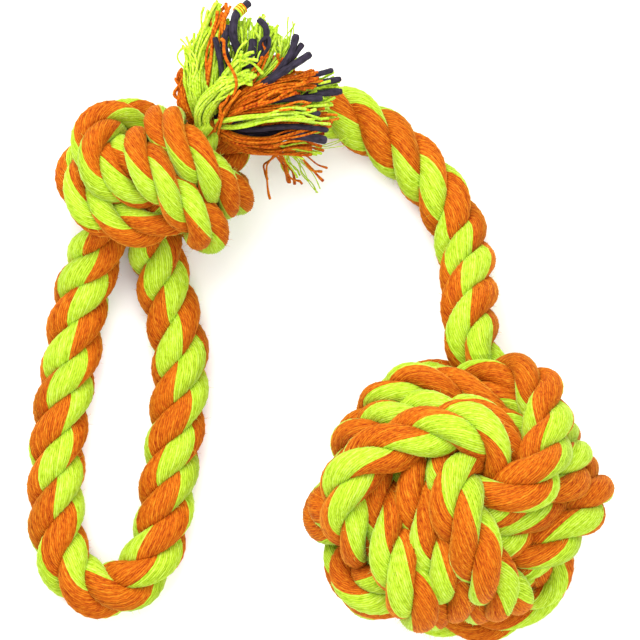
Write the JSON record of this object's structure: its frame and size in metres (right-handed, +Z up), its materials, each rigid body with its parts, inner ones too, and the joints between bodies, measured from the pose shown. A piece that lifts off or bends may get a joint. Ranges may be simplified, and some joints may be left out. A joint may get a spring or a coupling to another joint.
{
  "type": "rope dog toy",
  "caption": "Cotton rope toy for dogs: a ball knot on a throw rope that runs into an overhand knot with a hand loop and a tassel of loose yarn.",
  "frame": {"origin": "on the table, below the middle of the toy as it lies", "axes": "+Z up from the table, +X from the hand loop to the ball, +Y from the hand loop to its knot"},
  "size_m": [0.1662, 0.1801, 0.0794],
  "materials": {
    "cotton_rope": "lime and orange cotton yarn, matte",
    "tassel_yarn": "loose lime and orange cotton yarn, matte",
    "filler_yarn": "dark filler yarn, matte",
    "core_wadding": "undyed cotton wadding, matte"
  },
  "bodies": {
    "knot": {"knot_first_pass": "cotton_rope", "knot_second_pass": "cotton_rope", "throw_knot_end": "cotton_rope", "loop_left_leg": "cotton_rope", "loop_right_leg": "cotton_rope"},
    "hand_loop": {"hand_loop": "cotton_rope"},
    "throw_rope": {"throw_rope": "cotton_rope", "throw_ball_end": "cotton_rope"},
    "ball": {"ball_core": "core_wadding", "ball_first_band": "cotton_rope", "ball_second_band": "cotton_rope", "ball_third_band": "cotton_rope"},
    "tassel_up": {"tassel_up_yarn": "tassel_yarn", "tassel_up_filler": "filler_yarn"},
    "tassel_middle": {"tassel_middle_yarn": "tassel_yarn", "tassel_middle_filler": "filler_yarn"},
    "tassel_right": {"tassel_right_yarn": "tassel_yarn", "tassel_right_filler": "filler_yarn"}
  },
  "joints": [
    {"name": "loop_fold", "type": "hinge", "parent": "knot", "child": "hand_loop", "pos_m": [-0.056, 0.005, 0.008], "axis": [-1, 0, 0], "range_deg": [0, 90], "deforming": ["loop_left_leg", "loop_right_leg"]},
    {"name": "throw_swing", "type": "hinge", "parent": "knot", "child": "throw_rope", "pos_m": [-0.014, 0.058, 0.009], "axis": [0, 0, 1], "range_deg": [-5, 60], "deforming": ["throw_knot_end"]},
    {"name": "ball_swing", "type": "hinge", "parent": "throw_rope", "child": "ball", "pos_m": [0.043, 0, 0.023], "axis": [0, 0, 1], "range_deg": [-15, 45], "deforming": ["throw_ball_end"]},
    {"name": "tassel_up_flex", "type": "hinge", "parent": "knot", "child": "tassel_up", "pos_m": [-0.03, 0.057, 0.033], "axis": [1, 0, 0], "range_deg": [0, 35], "deforming": ["tassel_up_yarn", "tassel_up_filler"]},
    {"name": "tassel_middle_flex", "type": "hinge", "parent": "knot", "child": "tassel_middle", "pos_m": [-0.03, 0.057, 0.033], "axis": [0.8, -0.6, 0], "range_deg": [0, 35], "deforming": ["tassel_middle_yarn", "tassel_middle_filler"]},
    {"name": "tassel_right_flex", "type": "hinge", "parent": "knot", "child": "tassel_right", "pos_m": [-0.03, 0.057, 0.033], "axis": [0, -1, 0], "range_deg": [0, 35], "deforming": ["tassel_right_yarn", "tassel_right_filler"]}
  ]
}
